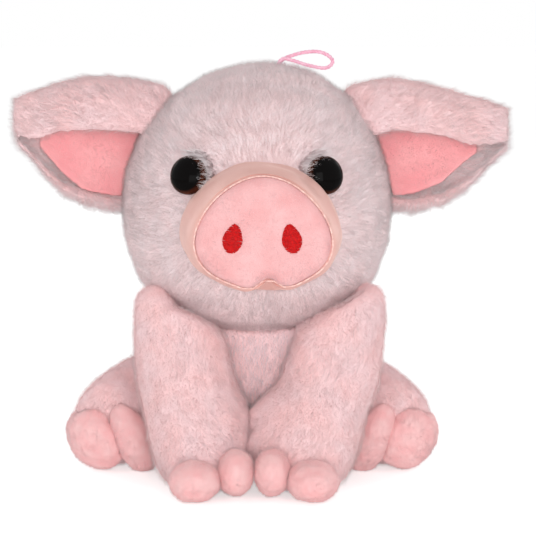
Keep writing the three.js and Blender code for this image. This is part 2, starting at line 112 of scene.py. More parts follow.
def copy_of(name, nodes):
    """A new piece from the solids of these CAD nodes, its loose triangles joined up."""
    bpy.ops.object.select_all(action="DESELECT")
    copies = [bpy.data.objects.new(name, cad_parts[node].data.copy()) for node in nodes]
    for copy in copies:
        bpy.context.collection.objects.link(copy)
        copy.select_set(True)
    piece = copies[0]
    bpy.context.view_layer.objects.active = piece
    if len(copies) > 1:
        bpy.ops.object.join()
    piece.data.materials.clear()
    bpy.ops.object.mode_set(mode="EDIT")
    bpy.ops.mesh.select_all(action="SELECT")
    bpy.ops.mesh.remove_doubles(threshold=weld_reach)
    bpy.ops.object.mode_set(mode="OBJECT")
    piece.name = name
    return piece


def stuffed_piece(name, nodes, detail, rounding, swell=0, *changes):
    """A closed, rounded form where these CAD solids are, changed, then grown by its lower pile."""
    piece = copy_of(name, nodes)
    for change in changes:
        change(piece)
    apply_modifier(piece, "REMESH", mode="VOXEL", voxel_size=detail)
    apply_modifier(piece, "SMOOTH", factor=0.5, iterations=rounding)
    if swell:
        apply_modifier(piece, "DISPLACE", strength=swell, mid_level=0)
        places = np.array([v.co for v in piece.data.vertices])
        normals = np.array([v.normal for v in piece.data.vertices])
        tufts = drift(places, tuft_size, 3, 1) + drift(places, tuft_size / 2, 4, 1) * 0.5
        places += normals * tufts * tuft_height
        places[:, 2] = np.maximum(places[:, 2], cloth_clear)
        piece.data.vertices.foreach_set("co", places.ravel())
        piece.data.update()
    piece.data.shade_smooth()
    return piece


def surface_of(piece):
    return BVHTree.FromObject(piece, bpy.context.evaluated_depsgraph_get())


def drawn_to(*surfaces, reach=sewn_reach, depth=0):
    """A change of form: faces that look at a surface close by are drawn into it."""

    def draw_in(piece):
        mesh = piece.data
        for surface in surfaces:
            sewn = {
                index
                for face in mesh.polygons
                if surface.ray_cast(face.center, face.normal, reach)[0]
                for index in face.vertices
            }
            for index in sewn:
                nearest, outward, _, _ = surface.find_nearest(mesh.vertices[index].co)
                mesh.vertices[index].co = nearest - outward * depth
            mesh.update()

    return draw_in


def drift(points, size, seed, width=3):
    """Smooth random vectors, which change over about that size."""
    draw = np.random.default_rng(seed)
    waves = 24
    total = np.zeros((len(points), width))
    for _ in range(waves):
        way = draw.normal(size=3)
        way *= 2 * math.pi * draw.uniform(0.5, 1.5) / size / np.linalg.norm(way)
        phase = draw.uniform(0, 2 * math.pi)
        total += np.sin(points @ way + phase)[:, None] * draw.normal(size=width)
    return total / math.sqrt(waves / 2)


def unit(vectors):
    return vectors / np.maximum(np.linalg.norm(vectors, axis=1, keepdims=True), 1e-9)


def open_triangles(piece, neighbours, where):
    """The corners and corner normals of the piece's triangles that nothing covers, or only of
    those that a test of their middles and normals picks out."""
    mesh = piece.data
    mesh.calc_loop_triangles()
    places = np.array([v.co for v in mesh.vertices])
    normals = np.array([v.normal for v in mesh.vertices])
    corners = np.empty(len(mesh.loop_triangles) * 3, np.int32)
    mesh.loop_triangles.foreach_get("vertices", corners)
    corners = corners.reshape(-1, 3)
    middles = places[corners].mean(1)
    ways = unit(normals[corners].mean(1))
    is_open = where(middles, ways) if where else np.ones(len(corners), bool)
    surfaces = [surface_of(other) for other in [piece, *neighbours]]
    for i in np.flatnonzero(is_open):
        start, aim = Vector(middles[i] + ways[i] * probe_start), Vector(ways[i])
        for surface in surfaces:
            hit, facing, _, gone = surface.ray_cast(start, aim)
            if hit and (gone < bare_under or facing.dot(aim) > 0):
                is_open[i] = False
    corners = corners[is_open]
    return places[corners], normals[corners]


def lay_pile(name, piece, seat, comb_from, neighbours=(), length=pile_length, width=pile_width,
             per_m2=pile_per_m2, lean=pile_lean, gather=0.08, curl=0.22, where=None, seed=1,
             material=None):
    """Panels of pile on a piece of cloth: thin spikes, combed away from a point and gathered a
    little into tufts. Each is a closed spike of four faces, with its own cell of the UV map."""
    draw = np.random.default_rng(seed)
    corners, corner_normals = open_triangles(piece, neighbours, where)
    sides = corners[:, 1:] - corners[:, :1]
    areas = np.linalg.norm(np.cross(sides[:, 0], sides[:, 1]), axis=1) / 2
    thinning = 1
    count = int(areas.sum() * per_m2 * thinning)
    chosen = draw.choice(len(areas), count, p=areas / areas.sum())
    shares = draw.dirichlet((1, 1, 1), count)[:, :, None]
    roots = (corners[chosen] * shares).sum(1)
    normals = unit((corner_normals[chosen] * shares).sum(1))
    middle_x, middle_y = roots[:, 0].mean(), roots[:, 1].mean()
    order = np.argsort(np.arctan2(roots[:, 0] - middle_x, roots[:, 1] - middle_y))
    roots, normals = roots[order], normals[order]

    combed = roots - np.array(comb_from)
    combed = unit(combed - normals * (combed * normals).sum(1, keepdims=True))
    aside = combed + drift(roots, swirl_size, seed) * curl
    aside += drift(roots, lock_size, seed + 1) * curl * 0.4
    aside += draw.normal(size=roots.shape) * comb_scatter
    aside = unit(aside - normals * (aside * normals).sum(1, keepdims=True))
    leans = np.radians(lean * (1 + lean_drift * drift(roots, leaning_size, seed + 2, 1)))
    leans += draw.normal(size=(count, 1)) * lean_scatter
    leans = np.clip(leans, least_lean, most_lean)
    ways = normals * np.cos(leans) + aside * np.sin(leans)
    lengths = length * draw.uniform(*length_shares, (count, 1))
    tips = roots + ways * lengths

    guides = np.arange(0, count, tuft_spacing)
    tree = KDTree(len(guides))
    for i, guide in enumerate(guides):
        tree.insert(roots[guide] + ways[guide] * length * 0.5, i)
    tree.balance()
    middles = roots + ways * length * 0.5
    nearest = guides[[tree.find(middle)[1] for middle in middles]]
    tips += (tips[nearest] - tips) * gather * draw.uniform(*gather_shares, (count, 1))
    tips[:, 2] = np.maximum(tips[:, 2], pile_clear)
    ways = unit(tips - roots)

    across = unit(np.cross(ways, normals) + draw.normal(size=ways.shape) * turn_scatter)
    beside = np.cross(ways, across)
    feet = roots - normals * root_depth
    points = np.empty((count, 4, 3))
    for corner in range(3):
        turn = math.pi * (2 * corner / 3 - 1 / 6)
        spoke = across * math.cos(turn) + beside * math.sin(turn) * pile_flatness
        points[:, corner] = feet + spoke * width * 0.5 * draw.uniform(*width_shares, (count, 1))
    points[:, 3] = tips
    tones = draw.uniform(0, 1, count)

    faces = np.array([[0, 1, 3], [1, 2, 3], [2, 0, 3], [2, 1, 0]])
    spread_out = np.array([
        [[0.05, 0.1], [0.35, 0.1], [0.5, 0.95]],
        [[0.35, 0.1], [0.65, 0.1], [0.5, 0.95]],
        [[0.65, 0.1], [0.95, 0.1], [0.5, 0.95]],
        [[0.95, 0.08], [0.5, 0.08], [0.05, 0.02]],
    ])
    panels = math.ceil(count / panel_limit)
    for panel, members in enumerate(np.array_split(np.arange(count), panels)):
        size = len(members)
        mesh = bpy.data.meshes.new(f"{name}_{panel + 1}")
        mesh.vertices.add(size * 4)
        mesh.vertices.foreach_set("co", points[members].astype(np.float32).ravel())
        mesh.loops.add(size * 12)
        loop_corners = (np.arange(size)[:, None, None] * 4 + faces).astype(np.int32)
        mesh.loops.foreach_set("vertex_index", loop_corners.ravel())
        mesh.polygons.add(size * 4)
        mesh.polygons.foreach_set("loop_start", np.arange(0, size * 12, 3, dtype=np.int32))
        mesh.update(calc_edges=True)
        up_share = mesh.attributes.new("up_share", "FLOAT", "POINT")
        up_share.data.foreach_set("value", np.tile([0, 0, 0, 1], size).astype(np.float32))
        tone = mesh.attributes.new("tone", "FLOAT", "POINT")
        tone.data.foreach_set("value", np.repeat(tones[members], 4).astype(np.float32))
        row = math.ceil(math.sqrt(size))
        cells = np.stack([np.arange(size) % row, np.arange(size) // row], 1)[:, None, None]
        spots = (cells + spread_out) / row
        mesh.uv_layers.new(name="OFBake").data.foreach_set("uv", spots.astype(np.float32).ravel())
        mesh.materials.append(material)
        pile = bpy.data.objects.new(mesh.name, mesh)
        bpy.context.collection.objects.link(pile)
        seat(pile)


def new_material(name, roughness, sheen=0, sheen_roughness=0.5):
    material = bpy.data.materials.new(name)
    material.use_nodes = True
    shader = material.node_tree.nodes["Principled BSDF"]
    shader.inputs["Roughness"].default_value = roughness
    shader.inputs["Sheen Weight"].default_value = sheen
    shader.inputs["Sheen Roughness"].default_value = sheen_roughness
    return material, shader


def mixed(material, share, first, second):
    """A colour between two, which may be colours or other mixes."""
    tree = material.node_tree
    mix = tree.nodes.new("ShaderNodeMix")
    mix.data_type = "RGBA"
    tree.links.new(share, mix.inputs["Factor"])
    for socket, colour in ((mix.inputs["A"], first), (mix.inputs["B"], second)):
        if isinstance(colour, tuple):
            socket.default_value = colour
        else:
            tree.links.new(colour, socket)
    return mix.outputs["Result"]


def speckle(material, size, low, high, detail=2, stretch=(1, 1, 1)):
    """A share from 0 to 1 that wanders over the piece, in spots of about that size."""
    tree = material.node_tree
    place = tree.nodes.new("ShaderNodeTexCoord")
    mapping = tree.nodes.new("ShaderNodeMapping")
    mapping.inputs["Scale"].default_value = stretch
    noise = tree.nodes.new("ShaderNodeTexNoise")
    noise.inputs["Scale"].default_value = 1 / size
    noise.inputs["Detail"].default_value = detail
    spread = tree.nodes.new("ShaderNodeMapRange")
    spread.inputs["From Min"].default_value = low
    spread.inputs["From Max"].default_value = high
    tree.links.new(place.outputs["Object"], mapping.inputs["Vector"])
    tree.links.new(mapping.outputs["Vector"], noise.inputs["Vector"])
    tree.links.new(noise.outputs["Fac"], spread.inputs["Value"])
    return spread.outputs["Result"]


def near_point(material, point, reach):
    """A share that fades from 1 at a point to 0 that far from it."""
    tree = material.node_tree
    place = tree.nodes.new("ShaderNodeTexCoord")
    gone = tree.nodes.new("ShaderNodeVectorMath")
    gone.operation = "DISTANCE"
    gone.inputs[1].default_value = point
    fade = tree.nodes.new("ShaderNodeMapRange")
    fade.interpolation_type = "SMOOTHSTEP"
    fade.inputs["From Min"].default_value = reach
    fade.inputs["From Max"].default_value = 0
    tree.links.new(place.outputs["Object"], gone.inputs[0])
    tree.links.new(gone.outputs["Value"], fade.inputs["Value"])
    return fade.outputs["Result"]


def attribute_share(material, name, low=0, high=1):
    tree = material.node_tree
    attribute = tree.nodes.new("ShaderNodeAttribute")
    attribute.attribute_name = name
    spread = tree.nodes.new("ShaderNodeMapRange")
    spread.inputs["From Min"].default_value = low
    spread.inputs["From Max"].default_value = high
    tree.links.new(attribute.outputs["Fac"], spread.inputs["Value"])
    return spread.outputs["Result"]


def pile_material(name, root, tip, blush, blush_low, blush_high, warm=None):
    """Pile whose fibres go from a deeper pink root to a pale tip, in soft patches of two colours,
    and which may be warmer round a point. The roots' deeper pink is partly the pile's own colour and
    partly painted shade, for the pinker light deep in the pile."""
    material, shader = new_material(name, 0.9, sheen=0.25)
    patches = speckle(material, blush_size, blush_low, blush_high)
    tips = mixed(material, patches, tip, blush)
    tips = mixed(material, attribute_share(material, "tone", -0.6, 2.2), tips, pale_fibre)
    # Root to tip: the roots' deeper pink is partly the pile's colour, partly painted shade of the
    # pile's depths.
    colour = mixed(material, attribute_share(material, "up_share", 0, 0.85), root, tips)
    if warm:
        point, reach, tint = warm
        colour = mixed(material, near_point(material, point, reach), colour, tint)
    material.node_tree.links.new(colour, shader.inputs["Base Color"])
    return material


pale_fibre = paint(252, 240, 240)


def cloth_material(name, first, second, size, bump_size, bump_height, roughness=0.9):
    """Cloth in two close colours, with a fine nap that catches the light."""
    material, shader = new_material(name, roughness, sheen=0.3)
    tree = material.node_tree
    colour = mixed(material, speckle(material, size, 0.35, 0.65), first, second)
    tree.links.new(colour, shader.inputs["Base Color"])
    bump = tree.nodes.new("ShaderNodeBump")
    bump.inputs["Distance"].default_value = bump_height
    tree.links.new(speckle(material, bump_size, 0.2, 0.8, detail=3), bump.inputs["Height"])
    tree.links.new(bump.outputs["Normal"], shader.inputs["Normal"])
    return material


def riding(body):
    def seat(piece):
        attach(piece, body)

    return seat


head_backing = cloth_material(
    "head_backing",
    paint(248, 222, 223),
    paint(247, 228, 230),
    head_patch,
    backing_weave,
    backing_relief,
)
body_backing = cloth_material(
    "body_backing",
    paint(250, 208, 208),
    paint(248, 216, 218),
    body_patch,
    backing_weave,
    backing_relief,
)
torso_pile = pile_material(
    "torso_pile", paint(250, 234, 242), paint(250, 246, 251), paint(250, 240, 246), 0.3, 0.6
)

# The cloths of the head and legs are cut out with the body's, and where two are sewn together,
# one is drawn into the other's surface. The neck's cloth has only their detail, with less rounding
# and no growth.
cut_out = cloth_detail, cloth_rounding, pile_base
neck_cloth = stuffed_piece("neck_cloth", ["neck_fill"], cloth_detail, neck_rounding)
head_cloth = stuffed_piece("head_cloth", ["head_fill"], *cut_out)
head_surface = surface_of(head_cloth)
body_cloth = stuffed_piece("body_cloth", ["body_fill"], *cut_out, drawn_to(head_surface))
body_surface = surface_of(body_cloth)
sides = {"left": -1, "right": 1}
front_leg_cloths, hind_leg_cloths = {}, {}
for leg, cloths in (("front_leg", front_leg_cloths), ("hind_leg", hind_leg_cloths)):
    seams = [drawn_to(body_surface, head_surface)]
    for side in sides:
        cloth = stuffed_piece(f"{leg}_{side}_cloth", [f"{leg}_{side}_fill"], *cut_out, *seams)
        cloths[side] = cloth
        seams.append(drawn_to(surface_of(cloth), reach=feet_reach))
legs = [*front_leg_cloths.values(), *hind_leg_cloths.values()]

for piece, body, nodes, fill, backing in (
    (body_cloth, "body", ("body_skin", "body_fill"), 0.7, body_backing),
    (neck_cloth, "neck", ("neck_fill",), 0.6, body_backing),
    (head_cloth, "head", ("head_skin", "head_fill"), 0.85, head_backing),
):
    piece.data.materials.append(backing)
    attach(piece, body)
    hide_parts(*nodes)

lay_pile(
    "body_pile",
    body_cloth,
    riding("body"),
    (body_middle_x, body_middle_y, body_top),
    neighbours=[head_cloth, *legs],
    seed=11,
    material=torso_pile,
)

# Front legs: stuffed plush tubes sewn on at the shoulders, which lean in to meet at the feet.
# Their pile is combed down to the hooves.
shoulder_x, shoulder_y, shoulder_z = 44 * mm, -5 * mm, 110 * mm
limb_pile = pile_material(
    "limb_pile", paint(246, 198, 200), paint(236, 230, 234), paint(250, 224, 222), 0.3, 0.6
)
for side, sign in sides.items():
    leg = front_leg_cloths[side]
    leg.data.materials.append(body_backing)
    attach(leg, f"front_leg_{side}")
    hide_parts(f"front_leg_{side}_skin", f"front_leg_{side}_fill")
    lay_pile(
        f"front_leg_{side}_pile",
        leg,
        riding(f"front_leg_{side}"),
        (sign * shoulder_x, shoulder_y, shoulder_z),
        neighbours=[head_cloth, body_cloth],
        seed=20 + sign,
        material=limb_pile,
    )

# Hind legs: shorter stuffed tubes of the same plush, sewn on at the hips. They lie forward along
# the floor with their soles to the front.
hip_x, hip_y, hip_z = 46 * mm, 70 * mm, 50 * mm
for side, sign in sides.items():
    leg = hind_leg_cloths[side]
    leg.data.materials.append(body_backing)
    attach(leg, f"hind_leg_{side}")
    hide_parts(f"hind_leg_{side}_skin", f"hind_leg_{side}_fill")
    lay_pile(
        f"hind_leg_{side}_pile",
        leg,
        riding(f"hind_leg_{side}"),
        (sign * hip_x, hip_y, hip_z),
        neighbours=[body_cloth],
        seed=30 + sign,
        material=limb_pile,
    )

# Hooves: small lobes of short-pile pink minky, two to a foot. Each is stuffed on its own and
# sewn to the end of the leg, where its cloth is drawn into the leg's.
nap_length, nap_width, nap_per_m2 = 1.5 * mm, 0.26 * mm, 2.6e6
nap_lean, nap_curl = 50, 0.8
hoof_detail, hoof_rounding, hoof_swell = 1.1 * mm, 14, 0.6 * mm
hoof_reach, hoof_depth = 5 * mm, 1 * mm
hoof_comb_x, hoof_comb_y, hoof_comb_z = 40 * mm, 60 * mm, 60 * mm
hoof_patch, minky_weave, hoof_relief = 8 * mm, 0.5 * mm, 0.15 * mm
hoof_minky = cloth_material(
    "hoof_minky", paint(244, 186, 186), paint(246, 200, 199), hoof_patch, minky_weave, hoof_relief
)
hoof_nap = pile_material(
    "hoof_nap", paint(243, 180, 182), paint(247, 204, 204), paint(245, 188, 190), 0.4, 0.6
)
for leg in ("front_leg", "hind_leg"):
    for side, sign in sides.items():
        for lobe in ("inner", "outer"):
            node = f"{leg}_{side}_hoof_{lobe}"
            cloths = front_leg_cloths if leg == "front_leg" else hind_leg_cloths
            sewn_on = drawn_to(surface_of(cloths[side]), reach=hoof_reach, depth=hoof_depth)
            hoof_cut = hoof_detail, hoof_rounding, hoof_swell
            hoof = stuffed_piece(f"{leg}_{side}_{lobe}_hoof", [node], *hoof_cut, sewn_on)
            hoof.data.materials.append(hoof_minky)
            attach(hoof, f"{leg}_{side}")
            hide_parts(node)
            lay_pile(
                f"{leg}_{side}_{lobe}_nap",
                hoof,
                riding(f"{leg}_{side}"),
                (sign * hoof_comb_x, hoof_comb_y, hoof_comb_z),
                neighbours=[front_leg_cloths[side], hind_leg_cloths[side]],
                length=nap_length,
                width=nap_width,
                per_m2=nap_per_m2,
                lean=nap_lean,
                curl=nap_curl,
                seed=40 + sign,
                material=hoof_nap,
            )

# Head: a ball of the same plush, paler than the legs and warmer on the forehead. Its pile is
# combed back from the snout.
muzzle_x, muzzle_y, muzzle_z = 0.6 * mm, -80 * mm, 122 * mm
forehead_glow = (0, -52 * mm, 168 * mm), 50 * mm, paint(253, 222, 222)
# The first colour of each pile is its roots': a deeper pink, partly the plush's own and partly
# painted shade.
plush_root, plush_tip, plush_blush = paint(250, 220, 222), paint(250, 244, 245), paint(252, 234, 234)
head_pile = pile_material(
    "head_pile", plush_root, plush_tip, plush_blush, 0.42, 0.75, forehead_glow
)
lay_pile(
    "head_pile",
    head_cloth,
    riding("head"),
    (muzzle_x, muzzle_y, muzzle_z),
    neighbours=[body_cloth],
    seed=5,
    material=head_pile,
)

# Snout: a short oval tube of peach satin, its front edge turned in to a padded face of pink
# minky, which a stitch at the bottom pulls up into a mouth.
snout_x, snout_z = 0.6 * mm, 124.7 * mm
snout_half_width, snout_half_height = 38 * mm, 30 * mm
snout_root, snout_front = -44 * mm, -87 * mm
snout_pear, snout_front_pear = 0.1, 0.3
snout_lean = 1.8 * mm
mouth_x, mouth_half_width, mouth_rise, lip_drop = 4.4 * mm, 5 * mm, 4 * mm, 1 * mm
ring_points = 48
satin_thickness = 1.6 * mm
satin_wave, satin_wave_height = 16 * mm, 0.25 * mm
satin_patch, satin_weave, satin_relief = 14 * mm, 0.5 * mm, 0.06 * mm


def oval_tube(name, rows):
    """A ring pulled forward and resized from row to row: how far forward it is, then its
    half width and half height as shares of the snout's own."""
    bpy.ops.object.select_all(action="DESELECT")
    y, width_share, height_share = rows[0]
    bpy.ops.mesh.primitive_circle_add(
        vertices=ring_points,
        radius=1,
        location=(snout_x, y, snout_z),
        rotation=(math.pi / 2, 0, 0),
    )
    piece = bpy.context.object
    piece.name = name
    piece.scale = (width_share * snout_half_width, height_share * snout_half_height, 1)
    bpy.ops.object.transform_apply()
    bpy.ops.object.mode_set(mode="EDIT")
    bpy.ops.mesh.select_all(action="SELECT")
    for next_y, next_width, next_height in rows[1:]:
        bpy.ops.mesh.extrude_region_move(TRANSFORM_OT_translate={"value": (0, next_y - y, 0)})
        if next_width:
            bpy.ops.transform.resize(
                value=(next_width / width_share, 1, next_height / height_share),
                center_override=(snout_x, next_y, snout_z),
            )
        else:
            bpy.ops.mesh.merge(type="CENTER")
        y, width_share, height_share = next_y, next_width, next_height
    bpy.ops.mesh.select_all(action="SELECT")
    bpy.ops.mesh.normals_make_consistent(inside=False)
    bpy.ops.object.mode_set(mode="OBJECT")
    return piece


def shape_snout(piece):
    """Widens the snout below, leans it aside and pulls the mouth up between two lips."""
    for vertex in piece.data.vertices:
        x, y, z = vertex.co
        forward = (snout_root - y) / (snout_root - snout_front)
        up = (z - snout_z) / snout_half_height
        pear = snout_pear + (snout_front_pear - snout_pear) * min(max(forward * 2 - 1, 0), 1)
        x = snout_x + (x - snout_x) * (1 - pear * up) + snout_lean * forward
        aside = abs(x - mouth_x) / mouth_half_width
        pull = mouth_rise * math.exp(-(aside**2)) - lip_drop * math.exp(-((aside - 2) ** 2))
        pull *= min(max(-up * 1.2, 0), 1) ** 3 * min(max(forward * 4 - 2.3, 0), 1)
        vertex.co = (x, y + max(pull, 0) * 0.5, z + pull)


band_outline = [
    (snout_root, 0.96, 0.96),
    (-51 * mm, 0.975, 0.975),
    (-60 * mm, 0.965, 0.965),
    (-69 * mm, 0.94, 0.945),
    (-76 * mm, 0.89, 0.91),
    (-80 * mm, 0.845, 0.875),
    (-82 * mm, 0.81, 0.845),
    (-82.2 * mm, 0.785, 0.825),
    (-80.5 * mm, 0.77, 0.81),
]
band = oval_tube("snout_satin", band_outline)
apply_modifier(band, "SUBSURF", levels=2)
shape_snout(band)
apply_modifier(band, "SOLIDIFY", thickness=satin_thickness, offset=-1)
band.data.shade_smooth()
places = np.array([v.co for v in band.data.vertices])
normals = np.array([v.normal for v in band.data.vertices])
places += normals * drift(places, satin_wave, 8, 1) * satin_wave_height
band.data.vertices.foreach_set("co", places.ravel())
satin, satin_shader = new_material("peach_satin", 0.42, sheen=0.35, sheen_roughness=0.3)
satin_shader.inputs["Sheen Tint"].default_value = paint(255, 225, 214)
satin_tree = satin.node_tree
satin_patches = speckle(satin, satin_patch, 0.3, 0.7)
satin_tone = mixed(satin, satin_patches, paint(224, 170, 160), paint(232, 182, 172))
satin_tree.links.new(satin_tone, satin_shader.inputs["Base Color"])
satin_bump = satin_tree.nodes.new("ShaderNodeBump")
satin_bump.inputs["Distance"].default_value = satin_relief
satin_bump.inputs["Strength"].default_value = 0.6
satin_threads = speckle(satin, satin_weave, 0.3, 0.7, stretch=(1, 0.25, 1))
satin_tree.links.new(satin_threads, satin_bump.inputs["Height"])
satin_tree.links.new(satin_bump.outputs["Normal"], satin_shader.inputs["Normal"])
band.data.materials.append(satin)
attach(band, "head")
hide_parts("snout_band", "snout_fill")

nostril_x, nostril_z, nostril_apart = 1.7 * mm, 122.4 * mm, 26 * mm
dent_depth, dent_reach = 1.6 * mm, 8 * mm
face_patch, face_relief = 12 * mm, 0.12 * mm
face_nap_length, face_nap_width, face_nap_per_m2, face_nap_lean = 1.1 * mm, 0.24 * mm, 3e6, 55
face_comb_y, face_comb_z = -60 * mm, 150 * mm
face_outline = [
    (-78.5 * mm, 0.74, 0.78),
    (-80.5 * mm, 0.785, 0.825),
    (-82.8 * mm, 0.785, 0.825),
    (-84.6 * mm, 0.74, 0.775),
    (-86.2 * mm, 0.64, 0.67),
    (-87.2 * mm, 0.48, 0.5),
    (-87.7 * mm, 0.3, 0.31),
    (-87.9 * mm, 0.14, 0.15),
    (-87.9 * mm, 0, 0),
]


def put_in_order(piece):
    """Numbers a piece's points and faces by their places, because extruding leaves their order to
    chance, and pile is strewn over the faces in that order."""
    mesh = piece.data
    places = np.array([v.co for v in mesh.vertices])
    order = np.lexsort(places.T)
    ranks = np.argsort(order)
    faces = []
    for face in mesh.polygons:
        corners = ranks[list(face.vertices)].tolist()
        first = corners.index(min(corners))
        faces.append(corners[first:] + corners[:first])
    mesh.clear_geometry()
    mesh.from_pydata(places[order].tolist(), [], sorted(faces))


snout_face = oval_tube("snout_pad", face_outline)
put_in_order(snout_face)
apply_modifier(snout_face, "SUBSURF", levels=2)
shape_snout(snout_face)
for vertex in snout_face.data.vertices:
    for sign in sides.values():
        gone = Vector((vertex.co.x - nostril_x - sign * nostril_apart / 2, vertex.co.z - nostril_z))
        vertex.co.y += dent_depth * math.exp(-((gone.length / dent_reach) ** 2))
snout_face.data.shade_smooth()
face_minky = cloth_material(
    "face_minky", paint(232, 168, 168), paint(238, 184, 184), face_patch, minky_weave, face_relief
)
face_nap = pile_material(
    "face_nap", paint(230, 158, 160), paint(238, 182, 182), paint(242, 200, 205), 0.45, 0.62
)
snout_face.data.materials.append(face_minky)
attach(snout_face, "head")
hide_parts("snout_face")
lay_pile(
    "snout_nap",
    snout_face,
    riding("head"),
    (snout_x, face_comb_y, face_comb_z),
    neighbours=[band],
    length=face_nap_length,
    width=face_nap_width,
    per_m2=face_nap_per_m2,
    lean=face_nap_lean,
    curl=nap_curl,
    seed=61,
    material=face_nap,
)

# The seam round the snout's face: the satin's edge, turned in and rolled, and held all round by
# pale thread.
seam_y, seam_radius = -82.5 * mm, 0.4 * mm
seam_width_share, seam_height_share = 0.797, 0.837
stitch_length, thread_grain, stitch_relief = 1.6 * mm, 0.8 * mm, 0.2 * mm
seam = oval_tube("snout_seam", [(seam_y, seam_width_share, seam_height_share)])
shape_snout(seam)
bpy.ops.object.select_all(action="DESELECT")
seam.select_set(True)
bpy.context.view_layer.objects.active = seam
bpy.ops.object.convert(target="CURVE")
seam.data.bevel_depth = seam_radius
seam.data.bevel_resolution = 3
bpy.ops.object.convert(target="MESH")
seam.data.shade_smooth()
seam_thread = cloth_material(
    "seam_thread",
    paint(250, 212, 202),
    paint(226, 170, 162),
    stitch_length,
    thread_grain,
    stitch_relief,
    roughness=0.6,
)
seam.data.materials.append(seam_thread)
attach(seam, "head")

# Nostrils: teardrops of red satin stitch, embroidered thread by thread from side to side over a
# raised pad on the snout's face.
nostril_half_width, nostril_half_height, nostril_tilt = 4.5 * mm, 6.5 * mm, 12
thread_radius, thread_count, thread_steps = 0.27 * mm, 35, 8
thread_skew, thread_lift = 0.25 * mm, 0.12 * mm
pad_rise = 0.9 * mm
end_share = 0.97
probe_y = -200 * mm
strand_size, strand_grain, strand_relief = 0.7 * mm, 0.35 * mm, 0.1 * mm
red_thread, red_shader = new_material("red_thread", 0.4)
red_shader.inputs["Specular IOR Level"].default_value = 0.2
red_strands = speckle(red_thread, strand_size, 0.3, 0.7)
red_tone = mixed(red_thread, red_strands, paint(166, 4, 8), paint(216, 14, 16))
red_thread.node_tree.links.new(red_tone, red_shader.inputs["Base Color"])
red_bump = red_thread.node_tree.nodes.new("ShaderNodeBump")
red_bump.inputs["Distance"].default_value = strand_relief
red_grain = speckle(red_thread, strand_grain, 0.3, 0.7)
red_thread.node_tree.links.new(red_grain, red_bump.inputs["Height"])
red_thread.node_tree.links.new(red_bump.outputs["Normal"], red_shader.inputs["Normal"])
face_surface = surface_of(snout_face)


def teardrop_half(up):
    """Half the teardrop's width at a height from -1, its round foot, to 1, its point."""
    return nostril_half_width * math.sqrt(max(1 - up * up, 0)) * (1 - 0.3 * max(up + 0.15, 0))


def on_face(x, z, rise):
    """A point that far in front of the snout's face."""
    hit = face_surface.ray_cast(Vector((x, probe_y, z)), Vector((0, 1, 0)))[0]
    return Vector((x, hit.y - rise, z))


for side, sign in sides.items():
    middle_x = nostril_x + sign * nostril_apart / 2
    lean = Matrix.Rotation(math.radians(sign * nostril_tilt), 2)
    curve = bpy.data.curves.new(f"nostril_{side}_threads", "CURVE")
    curve.dimensions = "3D"
    curve.bevel_depth = thread_radius
    curve.bevel_resolution = 1
    draw = np.random.default_rng(70 + sign)
    for up in np.linspace(-end_share, end_share, thread_count):
        half = teardrop_half(up)
        line = curve.splines.new("POLY")
        line.points.add(thread_steps)
        skew = draw.uniform(-thread_skew, thread_skew)
        for step in range(thread_steps + 1):
            across = -1 + 2 * step / thread_steps
            flat = lean @ Vector((across * half, up * nostril_half_height + skew * across))
            crown = pad_rise * math.sqrt(max(1 - across * across, 0))
            crown *= 0.5 + 0.5 * half / nostril_half_width
            lift = draw.uniform(0, thread_lift)
            spot = on_face(middle_x + flat.x, nostril_z + flat.y, crown + lift)
            line.points[step].co = (*spot, 1)
    nostril = bpy.data.objects.new(f"nostril_{side}_stitch", curve)
    bpy.context.collection.objects.link(nostril)
    bpy.ops.object.select_all(action="DESELECT")
    nostril.select_set(True)
    bpy.context.view_layer.objects.active = nostril
    bpy.ops.object.convert(target="MESH")
    nostril.data.shade_smooth()
    nostril.data.materials.append(red_thread)
    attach(nostril, "head")
    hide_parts(f"nostril_{side}")

# Eyes: domed safety buttons of polished plastic, black with a brown rim, their shanks pushed
# through the cloth into lock washers. Longer, whiter hair stands beside their inner edges.
head_size = Vector((133, 124, 136)) * mm
head_middle = Vector((-0.8, 6, 130.7)) * mm
eye_radius, eye_dome, eye_rim, eye_apart, eye_z = 9 * mm, 6 * mm, 1.5 * mm, 61.5 * mm, 147 * mm
eye_lift, eye_chamfer, eye_edge_angle = 0.6 * mm, 0.5 * mm, 35
shank_radius, shank_length = 2 * mm, 11 * mm
brow_length, brow_near, brow_far, brow_rise = 9 * mm, 8.9 * mm, 12.5 * mm, 9 * mm
brow_width, brow_per_m2, brow_lean, brow_gather = 0.24 * mm, 8e6, 9, 0.5
brow_facing_share = 0.4
eye_swirl = 3 * mm
eye_plastic, eye_shader = new_material("eye_plastic", 0.05)
eye_shader.inputs["Specular IOR Level"].default_value = 0.05
rim_share = attribute_share(eye_plastic, "from_middle", 0.82, 0.96)
rim_swirl = speckle(eye_plastic, eye_swirl, 0.3, 0.7)
rim_tone = mixed(eye_plastic, rim_swirl, paint(58, 26, 16), paint(84, 44, 30))
eye_colour = mixed(eye_plastic, rim_share, paint(8, 6, 6), rim_tone)
eye_plastic.node_tree.links.new(eye_colour, eye_shader.inputs["Base Color"])
white_pile = pile_material(
    "white_pile", paint(253, 236, 238), paint(255, 249, 250), paint(254, 240, 242), 0.4, 0.7
)

